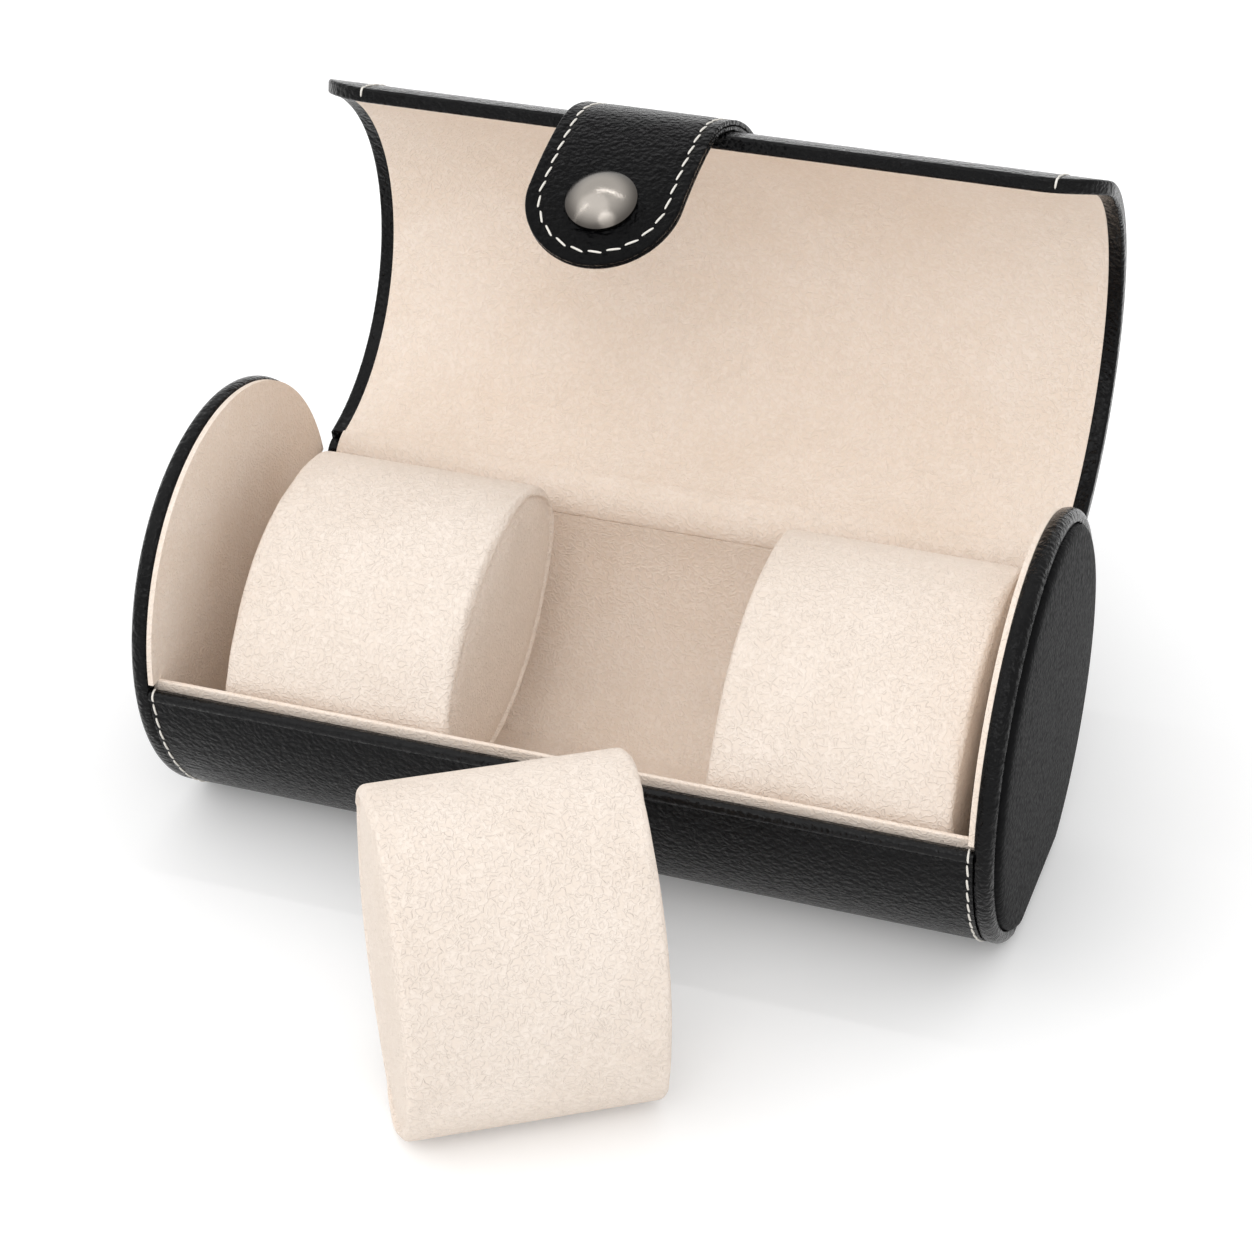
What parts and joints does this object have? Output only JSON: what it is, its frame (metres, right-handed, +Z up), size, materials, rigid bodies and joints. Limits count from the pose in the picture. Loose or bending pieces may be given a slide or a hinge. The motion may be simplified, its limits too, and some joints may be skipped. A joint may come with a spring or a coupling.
{
  "type": "watch roll case",
  "caption": "Cylindrical travel case for watches: stiff tray with round ends, curved lid on a leather hinge with a snap strap, and oval watch pillows.",
  "frame": {"origin": "on the surface the case stands on, under the middle of the tray", "axes": "+X along the case to the right as seen from the front, -Y towards the front rim, +Z up"},
  "size_m": [0.191, 0.2149, 0.1469],
  "materials": {
    "black_leather": "fine grain, satin",
    "lining_suede": "short nap suede",
    "pillow_suede": "short nap suede",
    "stiffener": "grey board",
    "pillow_core": "foam",
    "snap_metal": "polished"
  },
  "bodies": {
    "tray": {"tray_leather": "black_leather", "tray_board": "stiffener", "tray_lining": "lining_suede", "left_cap_hoop": "black_leather", "left_cap_face": "black_leather", "left_cap_board": "stiffener", "left_cap_lining": "lining_suede", "right_cap_hoop": "black_leather", "right_cap_face": "black_leather", "right_cap_board": "stiffener", "right_cap_lining": "lining_suede", "snap_stud": "snap_metal", "hinge_leather": "black_leather", "hinge_lining": "lining_suede"},
    "lid": {"lid_leather": "black_leather", "lid_board": "stiffener", "lid_lining": "lining_suede", "strap_root": "black_leather"},
    "strap_bend": {"strap_bend": "black_leather"},
    "strap": {"strap_leather": "black_leather", "strap_backing": "black_leather", "snap_cap": "snap_metal", "snap_socket": "snap_metal"},
    "left_pillow": {"left_pillow_cover": "pillow_suede", "left_pillow_core": "pillow_core", "left_pillow_left_panel": "pillow_suede", "left_pillow_right_panel": "pillow_suede"},
    "right_pillow": {"right_pillow_cover": "pillow_suede", "right_pillow_core": "pillow_core", "right_pillow_left_panel": "pillow_suede", "right_pillow_right_panel": "pillow_suede"},
    "loose_pillow": {"loose_pillow_cover": "pillow_suede", "loose_pillow_core": "pillow_core", "loose_pillow_left_panel": "pillow_suede", "loose_pillow_right_panel": "pillow_suede"}
  },
  "joints": [
    {"name": "lid_hinge", "type": "hinge", "parent": "tray", "child": "lid", "pos_m": [0, 0.04415, 0.05375], "axis": [1, 0, 0], "range_deg": [0, 97.5], "deforming": ["hinge_leather", "hinge_lining"]},
    {"name": "strap_fold", "type": "hinge", "parent": "lid", "child": "strap_bend", "pos_m": [0, 0.04809, 0.14532], "axis": [1, 0, 0], "range_deg": [-32, 0]},
    {"name": "strap_press", "type": "hinge", "parent": "strap_bend", "child": "strap", "pos_m": [0, 0.04015, 0.1452], "axis": [1, 0, 0], "range_deg": [0, 26.26]},
    {"name": "left_pillow_slide", "type": "slide", "parent": "tray", "child": "left_pillow", "axis": [1, 0, 0], "range_m": [-0.0125, 0.027]},
    {"name": "right_pillow_slide", "type": "slide", "parent": "tray", "child": "right_pillow", "axis": [1, 0, 0], "range_m": [-0.027, 0.004]},
    {"name": "loose_pillow_lift", "type": "slide", "parent": "tray", "child": "loose_pillow", "axis": [0, 0, 1], "range_m": [0, 0.12]}
  ],
  "couplings": [
    {"joint": "strap_fold", "follows": "lid_hinge", "ratio": -0.3282}
  ]
}
